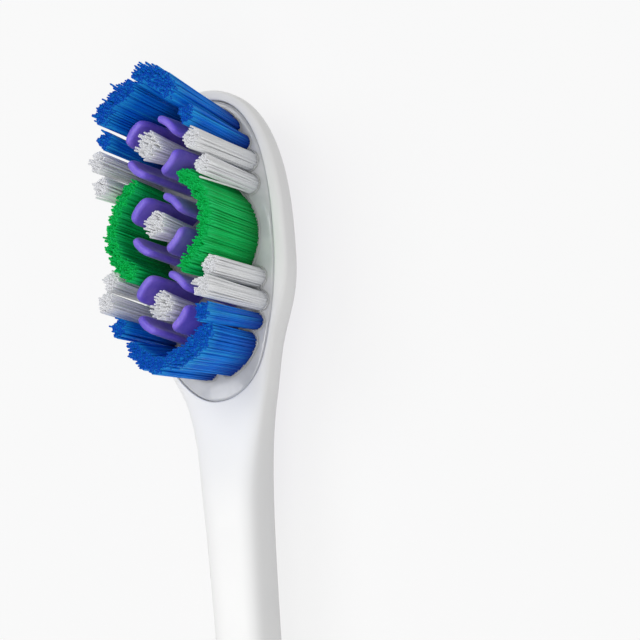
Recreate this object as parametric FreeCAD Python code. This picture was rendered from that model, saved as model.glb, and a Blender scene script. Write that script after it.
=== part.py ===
import FreeCAD, Part
import math
import os

# Manual toothbrush lying on its back, bristles up.
# X runs along the brush with the head at +X, Y across it, Z up from the table.
# All sizes in millimetres.

# Whole brush
LENGTH = 190.0
PLATE_Z = 8.2

# Tuft plate welded into the head
PLATE_LENGTH = 26.6
PLATE_WIDTH = 13.4
PLATE_SHIFT = -0.7
PLATE_THICK = 1.4
PLATE_TOE = 2.6
PLATE_HEEL = 2.1
ROOT_ROOM = 0.8
LEDGE = 0.6

# Head, neck and handle of the white body, the head sized from the plate it carries
RIM_TOE = 1.0
RIM_SIDE = 1.0
RIM_RISE = 0.15
SHOULDER = 4.0
TAPER_IN = 3.0
DIP = 1.0
DIP_IN = 6.0
DIP_OUT = 9.5
HEAD_DEPTH = 4.25
HEAD_MID = 1.2
HEAD_ROUND = 2.4
NECK_WIDTH = 4.6
NECK_MID = 2.0
NECK_DEPTH = 4.9
NECK_LENGTH = 34.0
GRIP_RISE = 36.0
GRIP_WIDTH = 12.0
GRIP_THICK = 12.9
GRIP_MID = 2.3
GRIP_WAIST = 0.7
TAIL_ROUND = 14.0

# Curve powers of the body's outline and sections: 2 is an ellipse, higher is squarer
HEAD_FRONT = 5.0
HEAD_UNDER = 2.8
NECK_FRONT = 3.4
NECK_UNDER = 3.2
GRIP_ROUND = 2.45
TOE_OVER = 8.0
TOE_UNDER = 3.4
HEAD_REACH = PLATE_LENGTH / 2 + PLATE_SHIFT + RIM_TOE
HEAD_WIDTH = PLATE_WIDTH + 2 * RIM_SIDE
HEEL = PLATE_LENGTH / 2 - PLATE_SHIFT
HEAD_BACK = HEEL + SHOULDER
NECK_END = HEAD_BACK + NECK_LENGTH
GRIP_START = NECK_END + GRIP_RISE
HEAD_X = LENGTH / 2 - HEAD_REACH

# The tuft field follows the plate: places along and across it, and sizes by the tighter of the two
ALONG = PLATE_LENGTH / 26.6
ACROSS = PLATE_WIDTH / 13.4
FIELD = min(ALONG, ACROSS)

# Tufts
TUFT_FIT = 0.05
ROOT_LIP = 0.12 * FIELD
ROOT_THICK = 0.5
SIDE_DIAMETER = 1.75 * FIELD
OUTER_LENGTH = 9.2
INNER_LENGTH = 8.3
SIDE_NEAR = 4.17 * ALONG
SIDE_FAR = 6.25 * ALONG
SIDE_ACROSS = 4.8 * ACROSS
SIDE_LEAN = 1.0
CORNER_DIAMETER = 1.5 * FIELD
CORNER_LENGTH = 8.7
CORNER_ALONG = 7.95 * ALONG
CORNER_ACROSS = 4.35 * ACROSS
CORNER_LEAN = 4.0
END_RADIUS = 4.1 * FIELD
END_CENTRE = 7.25 * ALONG
END_THICK = 1.6 * FIELD
END_SPREAD = 57.0
END_GAP = 0.3 * FIELD
TOE_LENGTH = 10.3
TOE_LEAN = 6.5
HEEL_LENGTH = 8.0
HEEL_LEAN = 6.0
ARC_RADIUS = 4.65 * FIELD
ARC_THICK = 1.4 * FIELD
ARC_SPREAD = 55.0
ARC_LENGTH = 7.8
CENTRE_DIAMETER = 1.7 * FIELD
CENTRE_LENGTH = 8.2
FLARE = 0.06

# Polishing cups
CUP_PITCH = 6.9 * ALONG
CUP_RADIUS = 2.5 * FIELD
CUP_WALL = 0.65 * FIELD
CUP_HEIGHT = 8.1
CUP_FIN = 32.0
CUP_FOOT = 0.4
FIN_ROUND = 0.8

# Soft rubber pads
PAD_DEPTH = 0.8
CLEANER_MARGIN = 1.6
CLEANER_TAIL = 3.6
CLEANER_EDGE = 1.6
CLEANER_RUN = 4.2
CLEANER_TOE = HEAD_REACH - CLEANER_EDGE
CLEANER_HEEL = HEAD_BACK + CLEANER_RUN
RING_FIRST = 5.2 * ALONG
RING_STEP = 9.0 * ALONG
RING_OUTER = 7.5 * FIELD
RING_SHRINK = 0.95 * FIELD
RING_WALL = 0.7
RING_RISE = 0.65
RING_SLOT = 0.8
NUB_PITCH = 1.5
NUB_BASE = 0.55
NUB_TIP = 0.12
NUB_RISE = 0.65
THUMB_LENGTH = 38.0
THUMB_START = GRIP_START - 18.0
THUMB_END = THUMB_START + THUMB_LENGTH
THUMB_WIDTH = 5.8
THUMB_RIBS = 7
RIB_RISE = 0.5
RIB_WIDTH = 1.2
BACK_LENGTH = 52.0
BACK_START = GRIP_START - 22.0
BACK_END = BACK_START + BACK_LENGTH
BACK_WIDTH = 4.8
BACK_GROOVES = 8
GROOVE_DEPTH = 0.4

V = FreeCAD.Vector
UP = V(0, 0, 1)
RIM_Z = PLATE_Z + RIM_RISE


def ease(s):
    s = max(0.0, min(1.0, s))
    return 0.5 - 0.5 * math.cos(math.pi * s)


def oval(s, power):
    s = min(1.0, abs(s))
    return (1.0 - s ** power) ** (1.0 / power)


def half_width(u):
    """Half the body's width at u, measured from the head centre toward the tip."""
    if u > -1.0:
        return HEAD_WIDTH / 2 * oval((u + 1.0) / (HEAD_REACH + 1.0), HEAD_ROUND)
    wide = NECK_WIDTH / 2 + (HEAD_WIDTH - NECK_WIDTH) / 2 / (1 + ((-u - 1.0) / (HEEL - TAPER_IN - 1.0)) ** 3)
    wide += (GRIP_WIDTH - NECK_WIDTH) / 2 * ease((-u - NECK_END) / (GRIP_START - NECK_END))
    waist = GRIP_WAIST * ease((-u - GRIP_START - 8) / 28.0) * ease((-u - LENGTH + HEAD_REACH + 48) / -20.0)
    return (wide - waist) * tail(u)


def tail(u):
    over = (-u - (LENGTH - HEAD_REACH - TAIL_ROUND)) / TAIL_ROUND
    return oval(over, 2.4) if over > 0 else 1.0


def heights(u):
    """Widest level, depth below it and height above it at u."""
    blend = ease((-u - HEEL + DIP_IN) / DIP_IN)
    rise = ease((-u - NECK_END) / (GRIP_START - NECK_END))
    mid = PLATE_Z - HEAD_MID * (1 - blend) - NECK_MID * blend
    low = (HEAD_DEPTH - HEAD_MID) * (1 - blend) + (NECK_DEPTH - NECK_MID) * blend
    high = RIM_Z - DIP * blend * (1 - ease((-u - HEEL) / DIP_OUT)) - mid
    mid = mid * (1 - rise) + (PLATE_Z - GRIP_MID) * rise
    low = low * (1 - rise) + GRIP_THICK / 2 * rise
    high = high * (1 - rise) + GRIP_THICK / 2 * rise
    if u > -1.0:
        toe = (u + 1.0) / (HEAD_REACH + 1.0)
        low = low * oval(toe, TOE_UNDER)
        high = high * oval(toe, TOE_OVER)
    return mid, low * tail(u), high * tail(u)


def fullness(u):
    """Powers of the section's curve above and below its widest level: higher is squarer."""
    neck = ease((-u - HEEL + DIP_IN) / DIP_IN)
    grip = ease((-u - NECK_END) / (GRIP_START - NECK_END))
    above = HEAD_FRONT * (1 - neck) + NECK_FRONT * neck
    below = HEAD_UNDER * (1 - neck) + NECK_UNDER * neck
    return above * (1 - grip) + GRIP_ROUND * grip, below * (1 - grip) + GRIP_ROUND * grip


def section(u):
    """Closed cross-section of the body at u."""
    w = half_width(u)
    mid, low, high = heights(u)
    above, below = fullness(u)
    pts = []
    for k in range(16):
        t = 2 * math.pi * k / 16
        c, s = math.cos(t), math.sin(t)
        power = 2.0 / (above if s > 0 else below)
        y = math.copysign(abs(c) ** power, c) * w
        z = math.copysign(abs(s) ** power, s) * (high if s > 0 else low)
        pts.append(V(HEAD_X + u, y, mid + z))
    return closed_curve(pts, 2)


def hull():
    """The body's outer form without any cut: head and half the neck, then the rest of it."""
    reach = HEAD_REACH + 1.0
    front = [s * reach - 1.0 for s in (0.998, 0.985, 0.96, 0.92, 0.86, 0.77, 0.64, 0.48, 0.28, 0.0)]
    step = HEAD_BACK / 6
    front += [-step * k for k in range(1, 7)]
    joint = (HEAD_BACK + NECK_END) / 2
    step = (joint - HEAD_BACK) / 5
    front += [-HEAD_BACK - step * k for k in range(1, 6)]
    step = (NECK_END - joint) / 3
    rear = [-joint - step * k for k in range(4)]
    step = (GRIP_START - NECK_END) / 5
    rear += [-NECK_END - step * k for k in range(1, 6)]
    start = LENGTH - HEAD_REACH - TAIL_ROUND
    step = (start - GRIP_START) / 5
    rear += [-GRIP_START - step * k for k in range(1, 6)]
    rear += [-start - TAIL_ROUND * s for s in (0.3, 0.55, 0.75, 0.88, 0.95, 0.985, 0.998)]
    halves = [Part.makeLoft([section(u) for u in part], True, False) for part in (front, rear)]
    return halves[0].fuse(halves[1]).removeSplitter()


def closed_curve(points, parts=1):
    count = len(points)
    curve = Part.BSplineCurve()
    curve.interpolate(Points=points, PeriodicFlag=True, Parameters=[k / count for k in range(count + 1)])
    return Part.Wire([curve.toShape(k / parts, (k + 1) / parts) for k in range(parts)])


def prism(wire, z0, z1):
    face = Part.Face(wire)
    face.translate(V(0, 0, z0 - face.BoundBox.ZMin))
    return face.extrude(V(0, 0, z1 - z0))


def plate_wire(inset):
    """Plan outline of the tuft plate, blunter at the toe than at the heel."""
    pts = []
    for k in range(28):
        t = 2 * math.pi * k / 28
        c, s = math.cos(t), math.sin(t)
        power = 2.0 / (PLATE_TOE if c > 0 else PLATE_HEEL)
        x = math.copysign(abs(c) ** power, c) * (PLATE_LENGTH / 2 - inset)
        y = math.copysign(abs(s) ** power, s) * (PLATE_WIDTH / 2 - inset)
        pts.append(V(HEAD_X + PLATE_SHIFT + x, y, 0))
    return closed_curve(pts)


def cleaner_wire():
    """Plan outline of the tongue cleaner, a pad with a tail that runs onto the neck."""
    side = []
    span = CLEANER_TOE + CLEANER_HEEL
    for k in range(1, 14):
        u = CLEANER_TOE - span * ease(k / 14)
        wide = max(CLEANER_TAIL / 2, half_width(u) - CLEANER_MARGIN)
        ends = oval(max(0.0, (u + 1.0) / (CLEANER_TOE + 1.0)), HEAD_ROUND)
        close = oval(max(0.0, (-u - CLEANER_HEEL + 3.0) / 3.0), 2.0)
        wide = min(wide, (HEAD_WIDTH / 2 - CLEANER_MARGIN) * ends) * close
        side.append(V(HEAD_X + u, wide, 0))
    pts = [V(HEAD_X + CLEANER_TOE, 0, 0)] + side + [V(HEAD_X - CLEANER_HEEL, 0, 0)]
    pts += [V(p.x, -p.y, 0) for p in reversed(side)]
    return closed_curve(pts)


def slot_wire(u0, u1, wide):
    """Long rounded outline between two distances from the head centre."""
    mid = HEAD_X - (u0 + u1) / 2
    long = (u1 - u0) / 2
    pts = []
    for k in range(20):
        t = 2 * math.pi * k / 20
        c, s = math.cos(t), math.sin(t)
        x = math.copysign(abs(c) ** 0.8, c) * long
        y = math.copysign(abs(s) ** 0.8, s) * wide / 2
        pts.append(V(mid + x, y, 0))
    return closed_curve(pts)


def crescent(cx, radius, thick, a0, a1, z, dx=0.0, grow=0.0):
    """Curved tuft outline with round ends; angles in degrees from +X."""
    ro, ri = radius + thick / 2 + grow, radius - thick / 2 - grow
    cap = thick / 2 + grow

    def at(r, a):
        return V(cx + dx + r * math.cos(math.radians(a)), r * math.sin(math.radians(a)), z)

    def past(a, way):
        p = at(radius, a)
        t = math.radians(a + 90 * way)
        return V(p.x + cap * math.cos(t), p.y + cap * math.sin(t), z)

    middle = (a0 + a1) / 2
    edges = [Part.Arc(at(ro, a0), at(ro, middle), at(ro, a1)).toShape()]
    edges.append(Part.Arc(at(ro, a1), past(a1, 1), at(ri, a1)).toShape())
    edges.append(Part.Arc(at(ri, a1), at(ri, middle), at(ri, a0)).toShape())
    edges.append(Part.Arc(at(ri, a0), past(a0, -1), at(ro, a0)).toShape())
    return Part.Wire(edges)


def ring_wire(x, y, r, z):
    return Part.Wire([Part.makeCircle(r, V(x, y, z), UP)])


def tuft(outline, length, lean):
    """A tuft: melted root behind the plate, straight run through it, free bristles above.

    outline(z, dx, grow) gives the closed outline at a level.
    """
    low = PLATE_Z - PLATE_THICK
    root = prism(outline(low, 0.0, ROOT_LIP), low - ROOT_THICK, low)
    shank = prism(outline(low, 0.0, 0.0), low, PLATE_Z)
    shift = length * math.tan(math.radians(lean))
    top = outline(PLATE_Z + length, shift, FLARE)
    free = Part.makeLoft([outline(PLATE_Z, 0.0, 0.0), top], True, True)
    return root.fuse([shank, free]).removeSplitter()


def round_outline(u, v, diameter):
    def outline(z, dx, grow):
        return ring_wire(HEAD_X + u + dx, v, diameter / 2 + grow, z)
    return outline


def arc_outline(u, radius, thick, a0, a1):
    def outline(z, dx, grow):
        return crescent(HEAD_X + u, radius, thick, a0, a1, z, dx, grow)
    return outline


def cup(u):
    """Polishing cup: a foot ring set in the plate and four fins at its diagonals."""
    x = HEAD_X + u
    ri, ro = CUP_RADIUS - CUP_WALL / 2, CUP_RADIUS + CUP_WALL / 2
    base = V(x, 0, PLATE_Z - CUP_FOOT)
    foot = Part.makeCylinder(ro, CUP_FOOT, base).cut(Part.makeCylinder(ri, CUP_FOOT, base))
    fins = []
    for k in range(4):
        a = 45 + 90 * k
        ends = [math.radians(a - CUP_FIN), math.radians(a), math.radians(a + CUP_FIN)]
        outer = [V(x + ro * math.cos(t), ro * math.sin(t), PLATE_Z) for t in ends]
        inner = [V(x + ri * math.cos(t), ri * math.sin(t), PLATE_Z) for t in ends]
        edges = [Part.Arc(*outer).toShape(), Part.makeLine(outer[2], inner[2])]
        edges += [Part.Arc(*reversed(inner)).toShape(), Part.makeLine(inner[0], outer[0])]
        fin = Part.Face(Part.Wire(edges)).extrude(V(0, 0, CUP_HEIGHT))
        top = PLATE_Z + CUP_HEIGHT - 0.01
        corner = [e for e in fin.Edges if e.BoundBox.ZMin > top and isinstance(e.Curve, Part.Line)]
        fins.append(fin.makeFillet(FIN_ROUND, corner))
    return foot.fuse(fins).removeSplitter()


def cup_seat(u):
    x = HEAD_X + u
    base = V(x, 0, PLATE_Z - CUP_FOOT)
    seat = Part.makeCylinder(CUP_RADIUS + CUP_WALL / 2, CUP_FOOT + 1, base)
    return seat.cut(Part.makeCylinder(CUP_RADIUS - CUP_WALL / 2, CUP_FOOT + 1, base))


# Every tuft with its outline, free length and lean along the brush
gap = math.degrees(math.asin((END_GAP + END_THICK) / 2 / END_RADIUS))
tufts = {}
for side, sign in (("left", 1), ("right", -1)):
    a0, a1 = sorted((gap * sign, END_SPREAD * sign))
    b0, b1 = sorted((180 - gap * sign, 180 - END_SPREAD * sign))
    c0, c1 = 90 * sign - ARC_SPREAD, 90 * sign + ARC_SPREAD
    tufts["toe_tuft_" + side] = (
        arc_outline(END_CENTRE, END_RADIUS, END_THICK, a0, a1), TOE_LENGTH, TOE_LEAN)
    tufts["heel_tuft_" + side] = (
        arc_outline(-END_CENTRE, END_RADIUS, END_THICK, b0, b1), HEEL_LENGTH, -HEEL_LEAN)
    tufts["arc_tuft_" + side] = (
        arc_outline(0.0, ARC_RADIUS, ARC_THICK, c0, c1), ARC_LENGTH, 0.0)
    for end, way in (("toe", 1), ("heel", -1)):
        tufts[end + "_corner_tuft_" + side] = (
            round_outline(way * CORNER_ALONG, sign * CORNER_ACROSS, CORNER_DIAMETER),
            CORNER_LENGTH, way * CORNER_LEAN)
        tufts[end + "_outer_tuft_" + side] = (
            round_outline(way * SIDE_FAR, sign * SIDE_ACROSS, SIDE_DIAMETER),
            OUTER_LENGTH, way * SIDE_LEAN)
        tufts[end + "_inner_tuft_" + side] = (
            round_outline(way * SIDE_NEAR, sign * SIDE_ACROSS, SIDE_DIAMETER),
            INNER_LENGTH, way * SIDE_LEAN)
cups = {"toe_cup": CUP_PITCH, "middle_cup": 0.0, "heel_cup": -CUP_PITCH}
for name, u in cups.items():
    tufts[name.replace("cup", "centre_tuft")] = (
        round_outline(u, 0.0, CENTRE_DIAMETER), CENTRE_LENGTH, 0.0)

# White body: head, neck and handle in one piece
outer = hull()
box = outer.BoundBox
below = Part.makeBox(box.XLength + 40, 60, 20, V(box.XMin - 20, -30, -20))
outer = outer.cut(below)

# Tuft plate, its face just under the rim, with its holes and the seats of the cups
sunk = outer.copy()
sunk.translate(V(0, 0, -RIM_RISE))
plate = prism(plate_wire(0.0), PLATE_Z - PLATE_THICK, RIM_Z).common(sunk)
holes = []
for outline, length, lean in tufts.values():
    holes.append(prism(outline(0.0, 0.0, TUFT_FIT), PLATE_Z - PLATE_THICK - 1, PLATE_Z + 1))
plate = plate.cut(holes + [cup_seat(u) for u in cups.values()])

well = prism(plate_wire(0.0), PLATE_Z - PLATE_THICK, PLATE_Z + 3)
well = well.fuse(prism(plate_wire(LEDGE), PLATE_Z - PLATE_THICK - ROOT_ROOM, PLATE_Z))


def level(u, way):
    """Height of the body's back (way -1) or front (way 1) along its middle at u."""
    mid, low, high = heights(u)
    return mid + high if way > 0 else max(0.0, mid - low)


def bed(u0, u1, way):
    """Space beyond a floor that follows the body at the pad's depth, seen from the side."""
    pts = []
    for k in range(6):
        u = u0 + (u1 - u0) * k / 5
        pts.append(V(HEAD_X + u, -20, level(u, way) - way * PAD_DEPTH))
    curve = Part.BSplineCurve()
    curve.interpolate(pts)
    far = pts[0].z + way * 15
    first, last = V(pts[0].x, -20, far), V(pts[-1].x, -20, far)
    edges = [curve.toShape(), Part.makeLine(pts[-1], last)]
    edges += [Part.makeLine(last, first), Part.makeLine(first, pts[0])]
    return Part.Face(Part.Wire(edges)).extrude(V(0, 40, 0))


def back_at(u, v):
    """Height of the body's back at u and v across."""
    mid, low, high = heights(u)
    return mid - low * oval(v / half_width(u), fullness(u)[1])


def rings():
    """Raised rings of the tongue cleaner, each broken at its diagonals."""
    lowered = outer.copy()
    lowered.translate(V(0, 0, -RING_RISE))
    made = []
    for k in range(3):
        u = RING_FIRST - RING_STEP * k
        r = (RING_OUTER - RING_SHRINK * k) / 2
        low = back_at(u, 0.0) - RING_RISE
        base = V(HEAD_X + u, 0, low)
        tall = RING_RISE + PAD_DEPTH / 2
        ring = Part.makeCylinder(r, tall, base).cut(Part.makeCylinder(r - RING_WALL, tall, base))
        for turn in (45, 135):
            slot = Part.makeBox(4 * r, RING_SLOT, tall, V(HEAD_X + u - 2 * r, -RING_SLOT / 2, low))
            slot.rotate(base, UP, turn)
            ring = ring.cut(slot)
        made += ring.common(lowered).Solids
    return made


def nub_loop(u, v, r, z):
    pts = [V(HEAD_X + u + r, v, z), V(HEAD_X + u, v + r, z), V(HEAD_X + u - r, v, z), V(HEAD_X + u, v - r, z)]
    return Part.makePolygon(pts + pts[:1])


def nubs():
    """Pointed nubs in staggered rows between and inside the rings."""
    made = []
    rows = int((CLEANER_TOE + CLEANER_HEEL) / NUB_PITCH) - 2
    columns = int(HEAD_WIDTH / 2 / NUB_PITCH)
    for i in range(rows * 2):
        u = CLEANER_TOE - 2.2 - NUB_PITCH * i / 2
        edge = max(half_width(u) - CLEANER_MARGIN, CLEANER_TAIL / 2)
        edge = edge * oval(max(0.0, (u + 1.0) / (CLEANER_TOE + 1.0)), HEAD_ROUND)
        for j in range(i % 2, columns, 2):
            v = (j + 0.5) * NUB_PITCH
            clear = v < edge - NUB_BASE - 0.2
            for k in range(3):
                r = (RING_OUTER - RING_SHRINK * k - RING_WALL) / 2
                off = math.hypot(u - RING_FIRST + RING_STEP * k, v)
                clear = clear and abs(off - r) > RING_WALL / 2 + NUB_BASE + 0.1
            if clear:
                for way in (v, -v):
                    high = back_at(u, v)
                    foot = nub_loop(u, way, NUB_BASE, high + PAD_DEPTH / 3)
                    point = nub_loop(u, way, NUB_TIP, high - NUB_RISE)
                    made.append(Part.makeLoft([foot, point], True, True))
    return made


# Soft pads let into the body
cleaner_form = prism(cleaner_wire(), -8.0, PLATE_Z)
cleaner_form = cleaner_form.common(bed(CLEANER_TOE + 0.5, -CLEANER_HEEL - 1, -1))
thumb_form = prism(slot_wire(THUMB_START, THUMB_END, THUMB_WIDTH), PLATE_Z - GRIP_MID, PLATE_Z + 12)
thumb_form = thumb_form.common(bed(-THUMB_START + 1, -THUMB_END - 1, 1))
back_form = prism(slot_wire(BACK_START, BACK_END, BACK_WIDTH), -8.0, PLATE_Z - GRIP_MID)
back_form = back_form.common(bed(-BACK_START + 1, -BACK_END - 1, -1))
cleaner = outer.common(cleaner_form)
thumb = outer.common(thumb_form)
back = outer.common(back_form)
body = outer.cut([well, cleaner_form, thumb_form, back_form])
cleaner = cleaner.fuse(rings() + nubs())

# Ribs across the thumb pad and grooves across the back pad
step = (THUMB_END - THUMB_START) / (THUMB_RIBS + 1)
ribs = []
for k in range(1, THUMB_RIBS + 1):
    u = -THUMB_START - step * k
    long = THUMB_WIDTH * 0.62 * oval((k / (THUMB_RIBS + 1) - 0.5) * 1.7, 2.0)
    rib = slot_wire(-u - RIB_WIDTH / 2, -u + RIB_WIDTH / 2, long)
    ribs.append(prism(rib, level(u, 1) - PAD_DEPTH / 2, level(u, 1) + RIB_RISE))
thumb = thumb.fuse(ribs).removeSplitter()
step = (BACK_END - BACK_START) / (BACK_GROOVES + 1)
grooves = []
for k in range(1, BACK_GROOVES + 1):
    u = -BACK_START - step * k
    corner = V(HEAD_X + u - RIB_WIDTH / 2, -BACK_WIDTH, -5)
    grooves.append(Part.makeBox(RIB_WIDTH, BACK_WIDTH * 2, 5 + level(u, -1) + GROOVE_DEPTH, corner))
back = back.cut(grooves)

pieces = {"handle_body": body, "tuft_plate": plate, "tongue_cleaner": cleaner}
pieces["thumb_grip"] = thumb
pieces["back_grip"] = back
for name, u in cups.items():
    pieces[name] = cup(u)
for name, (outline, length, lean) in tufts.items():
    pieces[name] = tuft(outline, length, lean)

os.makedirs("parts", exist_ok=True)
for name, shape in pieces.items():
    if len(shape.Solids) == 1:
        shape = shape.Solids[0]
    shape.exportStep("parts/" + name + ".step")
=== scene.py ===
import math
import random

import bmesh
import bpy
from mathutils import Matrix, Vector, kdtree


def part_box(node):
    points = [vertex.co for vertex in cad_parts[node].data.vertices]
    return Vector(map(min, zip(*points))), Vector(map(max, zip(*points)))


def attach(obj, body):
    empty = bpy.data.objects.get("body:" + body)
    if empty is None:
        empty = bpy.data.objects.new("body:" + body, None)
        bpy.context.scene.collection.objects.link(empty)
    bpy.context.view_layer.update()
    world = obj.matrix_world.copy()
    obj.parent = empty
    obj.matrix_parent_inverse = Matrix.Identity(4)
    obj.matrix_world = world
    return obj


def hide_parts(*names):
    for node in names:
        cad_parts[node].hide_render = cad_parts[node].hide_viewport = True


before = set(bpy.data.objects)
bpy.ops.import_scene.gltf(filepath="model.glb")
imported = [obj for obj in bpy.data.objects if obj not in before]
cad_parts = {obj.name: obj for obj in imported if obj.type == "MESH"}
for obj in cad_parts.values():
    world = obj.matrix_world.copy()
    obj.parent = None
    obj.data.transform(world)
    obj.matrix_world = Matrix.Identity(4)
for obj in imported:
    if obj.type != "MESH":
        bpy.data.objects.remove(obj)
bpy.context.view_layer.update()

# Manual toothbrush on its back: head at +X, bristles up. Sizes are in millimetres, angles in degrees.
# u is the distance along the brush from the head centre toward the tip, v the distance across.

MM = 0.001
TINY = 1e-6
WELD = 2e-6
scene = bpy.context.scene
scene.view_settings.view_transform = "Standard"
rng = random.Random(7)

# Frame values
plate_low, plate_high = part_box("tuft_plate")
PLATE_SHIFT = -0.7
HEAD_X = (plate_low[0] + plate_high[0]) / 2 / MM - PLATE_SHIFT
PLATE_Z = plate_high[2] / MM
PLATE_HALF_LONG = (plate_high[0] - plate_low[0]) / 2 / MM
PLATE_HALF_WIDE = 6.7

# Body form: head, neck, grip and tail
LENGTH = 190.0
HEAD_MARGIN = 1.0
HEAD_REACH = PLATE_HALF_LONG + PLATE_SHIFT + HEAD_MARGIN
HEAD_WIDEST = -1.0
HEAD_HALF = 7.7
HEAD_ROUND = 2.4
HEAD_MID = 1.2
HEAD_DEPTH = 4.25
HEAD_FRONT, HEAD_UNDER = 5.0, 2.8
TOE_OVER, TOE_UNDER = 8.0, 3.4
HEEL = PLATE_HALF_LONG - PLATE_SHIFT
TAPER_IN = 3.0
TAPER_POWER = 3
DIP = 1.0
DIP_IN = 6.0
DIP_OUT = 9.5
RIM_RISE = 0.15
RIM_Z = PLATE_Z + RIM_RISE
NECK_HALF = 2.3
NECK_MID = 2.0
NECK_DEPTH = 4.9
NECK_FRONT, NECK_UNDER = 3.4, 3.2
NECK_END = 52.0
GRIP_START = 88.0
GRIP_HALF = 6.0
GRIP_THICK = 12.9
GRIP_MID = 2.3
GRIP_ROUND = 2.45
WAIST = 0.7
WAIST_AFTER, WAIST_IN = 8.0, 28.0
WAIST_BEFORE_END, WAIST_OUT = 48.0, 20.0
TAIL_ROUND = 14.0
TAIL_POWER = 2.4
TAIL_START = LENGTH - HEAD_REACH - TAIL_ROUND

# Plate, its well and its seam
PLATE_TOE, PLATE_HEEL = 2.6, 2.1
PLATE_BEVEL = 0.22
SEAM = 0.05
RIM_FILLET = 0.14
RIM_SHARE = 0.985
WELL_DEPTH = 1.3
SKIRT_GAP = 0.1
BEAD_PROFILE = ((0.02, 0.0), (0.03, 0.09), (0.08, 0.12), (0.13, 0.09), (0.17, 0.0))
BEAD_SINK = 0.02

# Mesh steps of the body and the plate
TOE_ROWS = 26
PLATE_ROWS = 24
TAIL_ROWS = 20
BODY_STRETCHES = ((HEEL + 0.5, 0.6, 16), (24.0, 1.4, 20), (NECK_END, 1.2, 30), (GRIP_START, 1.6, 47))
ROW_GAP = 0.012
GROWTHS = (0.3, 0.24, 0.19, 0.14, 0.1, 0.06, 0.03, 0.0)
UNDER_STEPS = 44
RIM_STEPS = 14
PLATE_STEPS = 144
BEVEL_STEPS = 6
FACE_RINGS = 16

# Soft grips in the handle
SLOT_POWER = 2.5
BACK_START, BACK_END, BACK_HALF = 66.0, 118.0, 2.4
BACK_GROOVES = 8
GROOVE_HALF = 0.7
GROOVE_DEPTH = 0.35
BED_DEPTH = 0.4
BED_EDGE = 0.5
THUMB_START, THUMB_END, THUMB_HALF = 70.0, 108.0, 2.9
THUMB_RIBS = 7
RIB_HALF = 1.0
RIB_RISE = 0.5
RIB_REACH = 0.62
RIB_TAPER = 1.7
RIB_ROUND = 1.15
RIB_LEAST = 0.2
RIB_SOFTNESS = 1.5

# Tongue cleaner on the back of the head
CLEANER_TOE, CLEANER_HEEL = 12.0, 22.2
CLEANER_MARGIN = 1.6
CLEANER_TAIL = 1.8
CLEANER_ROUND = 3.0
RINGS = ((5.2, 7.5), (-3.8, 6.55), (-12.8, 5.6))
RING_ARCS = (0, 90, 180, 270)
RING_REACH = 36.0
RING_WALL = 0.7
RING_RISE = 0.65
RING_SINK = 0.05
RING_TOP_ROUND = 0.55
RING_END_ROUND = 6.0
RING_END_RISE = 0.03
RING_END_WALL = 0.6
RING_STEPS = 18
RING_ROUND_STEPS = 12
NUB_PITCH = 1.3
NUB_ACROSS = 1.15
NUB_COLUMNS = 5
NUB_BASE = 0.52
NUB_RISE = 0.7
NUB_SINK = 0.04
NUB_FROM_TOE, NUB_FROM_ENDS = 2.2, 3.4
NUB_EDGE = 0.15
NUB_CLEAR = 0.05
NUB_SIDES = 12
NUB_PROFILE = ((1.25, 0.02), (1.0, 0.1), (0.82, 0.3), (0.62, 0.55), (0.42, 0.8), (0.22, 0.96))

# Soft pads in general
PAD_PROUD = 0.12
PAD_EDGE = 0.35
PAD_SINK = 0.03
PAD_FOOT = 0.35
PAD_COLUMNS = 49
PAD_CROWDING = 0.3
PAD_BOUND = 400
CLEANER_STEP, THUMB_STEP, BACK_STEP = 0.45, 0.16, 0.25
SLOPE_STEP = 0.05

# Polishing cups
CUP_PITCH = 6.9
CUP_RADIUS = 2.5
CUP_WALL = 0.72
CUP_HEIGHT = 8.1
CUP_FIN = 32.0
CUP_TURNS = (45.0, 135.0, 225.0, 315.0)
CUP_LIP = 0.32
CUP_LIP_WALL = 0.15
CUP_CORNER = 1.3
CUP_CORNER_REACH = 0.55
CUP_CORNER_POWER = 2.2
CUP_TAPER = 0.1
CUP_SINK = 0.15
CUP_LEVELS = (0.0, 1.5, 3.0, 4.5, 5.6)
CUP_CORNER_STEPS = 10
CUP_SIDES = 28
CUP_END_ROUND, CUP_FACE_ROUND = 0.45, 0.75

# Tuft places, the same on both sides and at both ends
CRESCENT_AT = 7.25
CRESCENT_RADIUS = 4.1
CRESCENT_THICK = 1.6
CRESCENT_HALF_GAP = 0.95
CRESCENT_START = math.degrees(math.asin(CRESCENT_HALF_GAP / CRESCENT_RADIUS))
CRESCENT_END = 57.0
ARC_RADIUS = 4.65
ARC_THICK = 1.4
ARC_SWEEP = 55
CORNER_AT, CORNER_WIDE = (7.95, 4.35), 1.5
OUTER_AT, OUTER_WIDE = (6.25, 4.8), 1.75
INNER_AT, INNER_WIDE = (4.17, 4.8), 1.75
CENTRE_WIDE = 1.7
ROUND_STEPS = 28
ARC_STEPS = 40
ARC_END_STEPS = 10

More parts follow.
